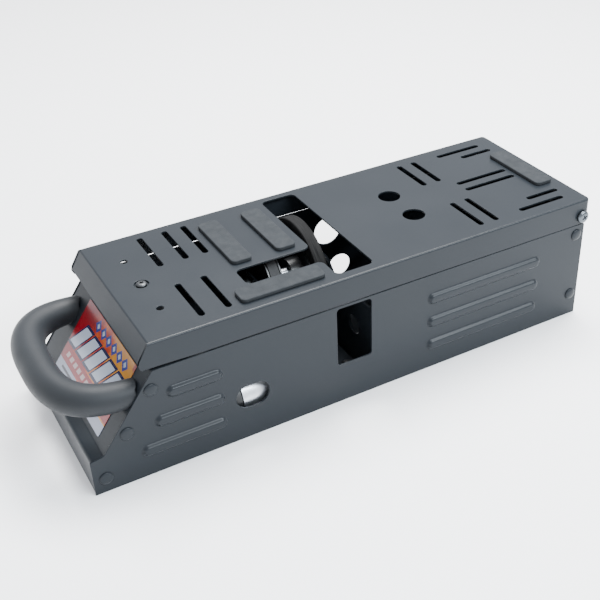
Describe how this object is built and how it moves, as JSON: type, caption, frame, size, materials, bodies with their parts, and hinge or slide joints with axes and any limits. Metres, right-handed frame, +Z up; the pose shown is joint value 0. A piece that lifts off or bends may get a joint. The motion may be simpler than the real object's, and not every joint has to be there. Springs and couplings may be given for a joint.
{
  "type": "starter box",
  "caption": "Sheet-metal starter box for model cars: slotted top plate rocking on rear pivots, belt-driven starting wheel, foam-gripped handle.",
  "frame": {"origin": "middle of the case's flat underside", "axes": "+X along the case, away from the handle; +Y across it; +Z up"},
  "size_m": [0.3467, 0.1156, 0.086],
  "materials": {
    "powder_coat": "grey satin powder coat",
    "pad_rubber": "fine-textured matte rubber",
    "wheel_rubber": "worn matte rubber",
    "belt_rubber": "toothed belt rubber",
    "foam": "smooth-skinned foam",
    "zinc": "zinc-plated steel",
    "black_steel": "blackened steel",
    "aluminium": "turned aluminium",
    "black_plastic": "moulded black plastic",
    "red_plastic": "red moulded plastic or wire sleeve",
    "windings": "steel laminations with copper windings",
    "label": "glossy printed film with abstract colour bands"
  },
  "bodies": {
    "case": {"base_shell": "powder_coat", "battery_plug": "black_plastic", "bearing_front": "zinc", "bearing_rear": "zinc", "bracket_screw_1": "black_steel", "bracket_screw_2": "black_steel", "bracket_screw_3": "black_steel", "bracket_screw_4": "black_steel", "drive_belt": "belt_rubber", "drive_bracket": "powder_coat", "front_panel": "powder_coat", "handle_grip": "foam", "handle_nut_far": "zinc", "handle_nut_near": "zinc", "handle_rod": "zinc", "handle_wedge_far": "aluminium", "handle_wedge_near": "aluminium", "label": "label", "lead_motor_plug": "black_plastic", "lead_motor_switch": "red_plastic", "lead_switch_plug": "red_plastic", "lid_nut": "zinc", "lid_screw": "zinc", "lid_spring": "zinc", "motor_can": "zinc", "motor_endbell": "black_plastic", "motor_screw_high": "zinc", "motor_screw_low": "zinc", "pivot_nut_far": "zinc", "pivot_nut_near": "zinc", "pivot_screw_far": "black_steel", "pivot_screw_near": "black_steel", "rear_panel": "powder_coat", "rivet_front_far_1": "powder_coat", "rivet_front_far_2": "powder_coat", "rivet_front_far_3": "powder_coat", "rivet_front_near_1": "powder_coat", "rivet_front_near_2": "powder_coat", "rivet_front_near_3": "powder_coat", "rivet_rear_far_1": "powder_coat", "rivet_rear_far_2": "powder_coat", "rivet_rear_near_1": "powder_coat", "rivet_rear_near_2": "powder_coat", "switch_body": "black_plastic", "switch_bracket": "zinc", "switch_screw_far": "zinc", "switch_screw_near": "zinc"},
    "top_plate": {"lid": "powder_coat", "pad_front": "pad_rubber", "pad_middle": "pad_rubber", "pad_rear": "pad_rubber", "pad_side": "pad_rubber"},
    "wheel": {"wheel_tyre": "wheel_rubber", "wheel_hub": "black_steel", "wheel_shaft": "zinc", "driven_pulley": "black_steel"},
    "rotor": {"motor_armature": "windings", "motor_shaft": "zinc", "motor_pulley": "aluminium"},
    "plunger": {"switch_plunger": "red_plastic"}
  },
  "joints": [
    {"name": "lid_press", "type": "hinge", "parent": "case", "child": "top_plate", "pos_m": [0.161, 0, 0.0726], "axis": [0, -1, 0], "range_deg": [0, 0.15], "stiffness_Nm_per_rad": 15, "springref_deg": -5.73, "deforming": ["lid_spring"]},
    {"name": "switch_press", "type": "slide", "parent": "case", "child": "plunger", "axis": [0, 0, -1], "range_m": [0, 0.00071]},
    {"name": "wheel_spin", "type": "hinge", "parent": "case", "child": "wheel", "pos_m": [-0.0018, 0.0147, 0.0517], "axis": [1, 0, 0], "continuous": true},
    {"name": "motor_spin", "type": "hinge", "parent": "case", "child": "rotor", "pos_m": [-0.0374, -0.037, 0.0188], "axis": [1, 0, 0], "continuous": true}
  ],
  "couplings": [
    {"joint": "switch_press", "follows": "lid_press", "m_per_rad": 0.269},
    {"joint": "motor_spin", "follows": "wheel_spin", "ratio": 4}
  ]
}
